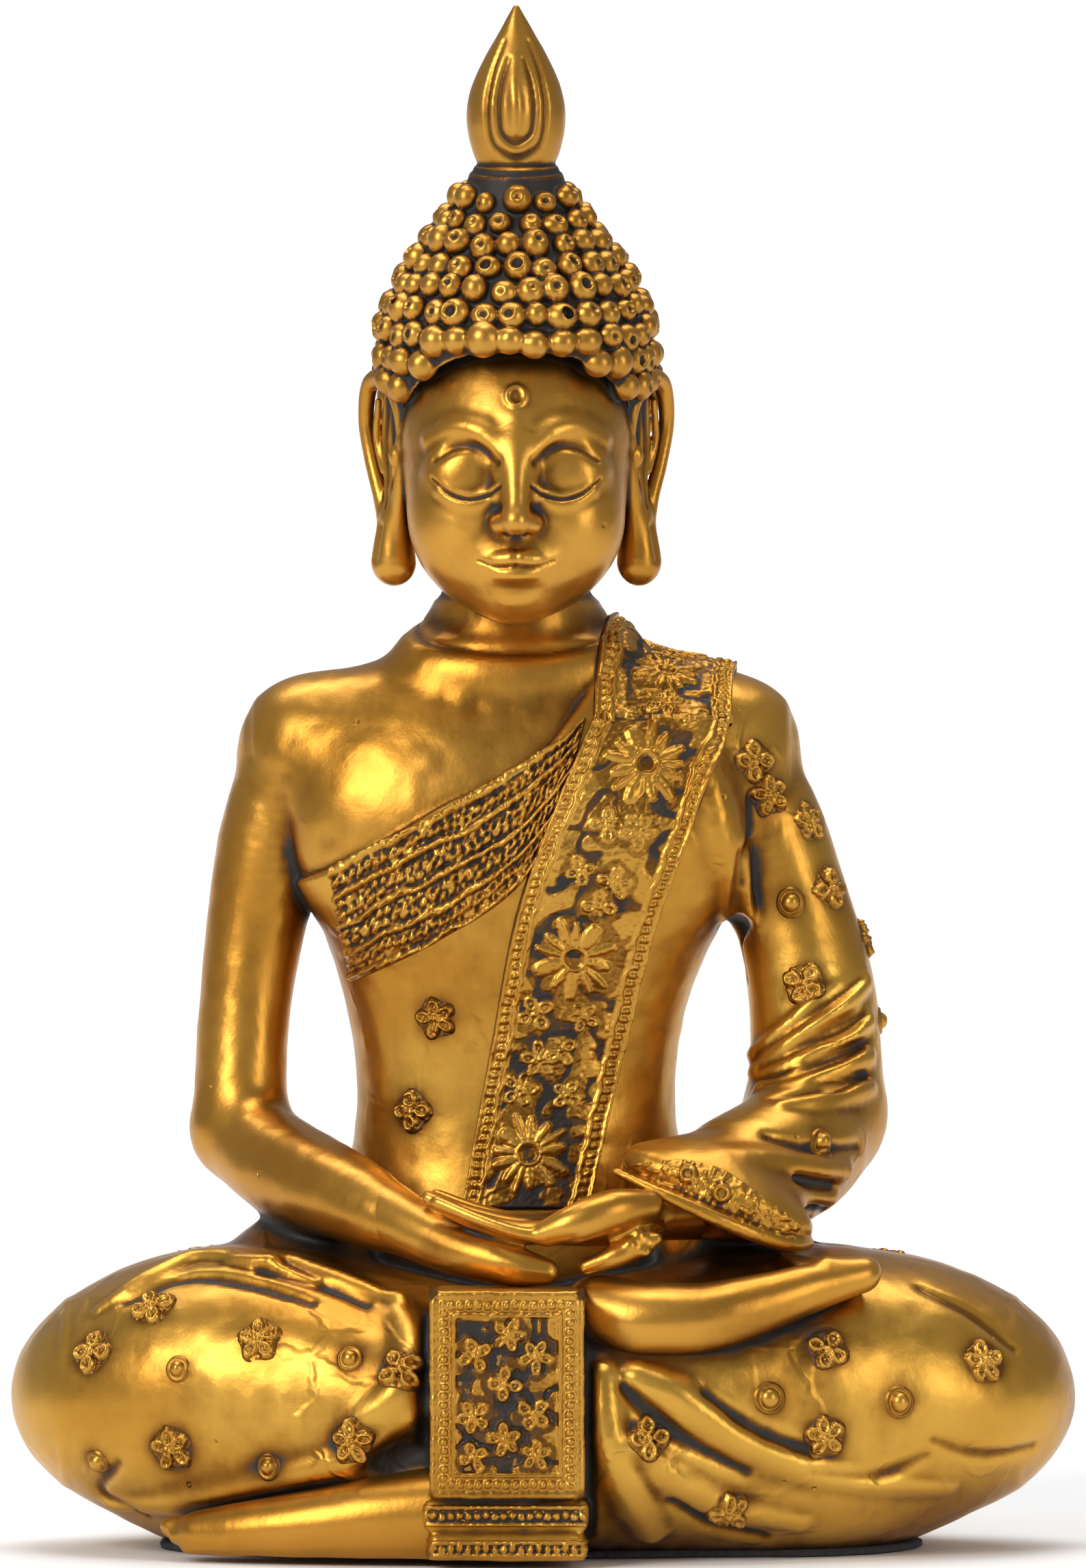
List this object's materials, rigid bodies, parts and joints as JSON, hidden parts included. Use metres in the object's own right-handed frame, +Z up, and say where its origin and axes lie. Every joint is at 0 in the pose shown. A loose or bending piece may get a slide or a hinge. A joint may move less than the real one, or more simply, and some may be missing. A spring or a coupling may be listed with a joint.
{
  "type": "buddha statue",
  "caption": "Seated meditating figure with folded legs, hands in its lap, curled hair, flame finial, draped robe and flowered sash.",
  "frame": {"origin": "middle of the footprint, on the surface the figure stands on", "axes": "+Z up the figure, -Y the way it faces, +X towards its left knee (the viewer's right)"},
  "size_m": [0.158, 0.0914, 0.2301],
  "materials": {
    "gold_skin": "satin antique-gold paint on cast resin, black patina in the recesses",
    "gold_robe": "satin antique-gold paint on cast resin, finely creased",
    "gold_hair": "antique-gold paint on the curls, black patina between them",
    "gold_ornament": "polished antique-gold relief with dark patina round it",
    "dark_patina": "black-brown wash",
    "raw_resin": "bare cast resin",
    "pin_steel": "plain",
    "felt": "black felt"
  },
  "bodies": {
    "root": {"torso": "gold_skin", "right_leg": "gold_robe", "left_leg": "gold_robe", "felt_sheet": "felt", "seat_plug": "raw_resin", "right_leg_plug": "raw_resin", "left_leg_plug": "raw_resin", "right_shoulder_pin": "pin_steel", "left_shoulder_pin": "pin_steel", "neck_pin": "pin_steel", "finial_pin": "pin_steel", "right_upper_arm": "gold_skin", "right_forearm": "gold_skin", "right_hand": "gold_skin", "left_upper_sleeve": "gold_robe", "left_forearm_sleeve": "gold_robe", "left_hand": "gold_skin", "right_foot": "gold_skin", "left_foot": "gold_skin", "head": "gold_skin", "hair_cap": "dark_patina", "finial_collar": "dark_patina", "flame_finial": "gold_hair", "flame_tongue": "gold_hair", "urna": "gold_skin", "right_ear": "gold_skin", "left_ear": "gold_skin", "hairline_curls": "gold_hair", "scalp_curls": "gold_hair", "topknot_curls": "gold_hair", "robe_wrap": "gold_robe", "shoulder_sash": "gold_robe", "chest_band": "gold_robe", "sash_inner_border": "gold_ornament", "sash_outer_border": "gold_ornament", "chest_band_strips": "gold_ornament", "sash_rosettes": "gold_ornament", "sash_blossoms": "gold_ornament", "front_panel": "gold_robe", "panel_border": "gold_ornament", "panel_blossoms": "gold_ornament", "panel_pleats": "gold_robe", "robe_blossoms": "gold_ornament", "sleeve_blossoms": "gold_ornament", "sleeve_studs": "gold_ornament", "right_leg_blossoms": "gold_ornament", "right_leg_studs": "gold_ornament", "left_leg_blossoms": "gold_ornament", "left_leg_studs": "gold_ornament", "right_lap_fold": "gold_robe", "left_leg_folds": "gold_robe", "sleeve_mouth": "gold_robe"}
  },
  "joints": []
}
